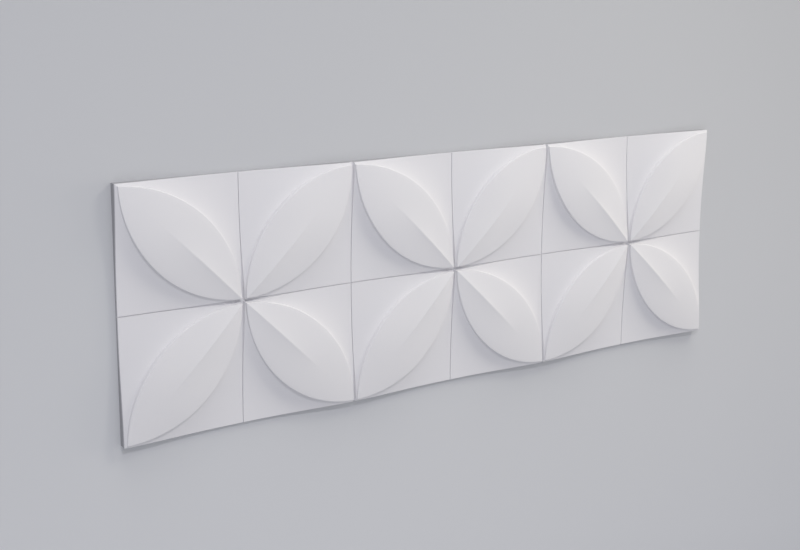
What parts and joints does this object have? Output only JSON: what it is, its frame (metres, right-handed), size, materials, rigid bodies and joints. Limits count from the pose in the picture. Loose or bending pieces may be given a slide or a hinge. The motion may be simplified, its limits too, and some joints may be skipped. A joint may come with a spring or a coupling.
{
  "type": "3d wall panel tile",
  "caption": "Rectangular moulded wall panel in matt white, divided by fine grooves into square fields with raised pointed petals that join into four-petal flowers; flat back for gluing.",
  "frame": {"origin": "middle of the flat back face", "axes": "+X along the panel's length, +Y across it, +Z out of the wall, towards the relief"},
  "size_m": [1.14, 0.38, 0.0285],
  "materials": {
    "primed_white": "matt white primer on a dense rigid foam moulding"
  },
  "bodies": {
    "root": {"wall_panel": "primed_white"}
  },
  "joints": []
}
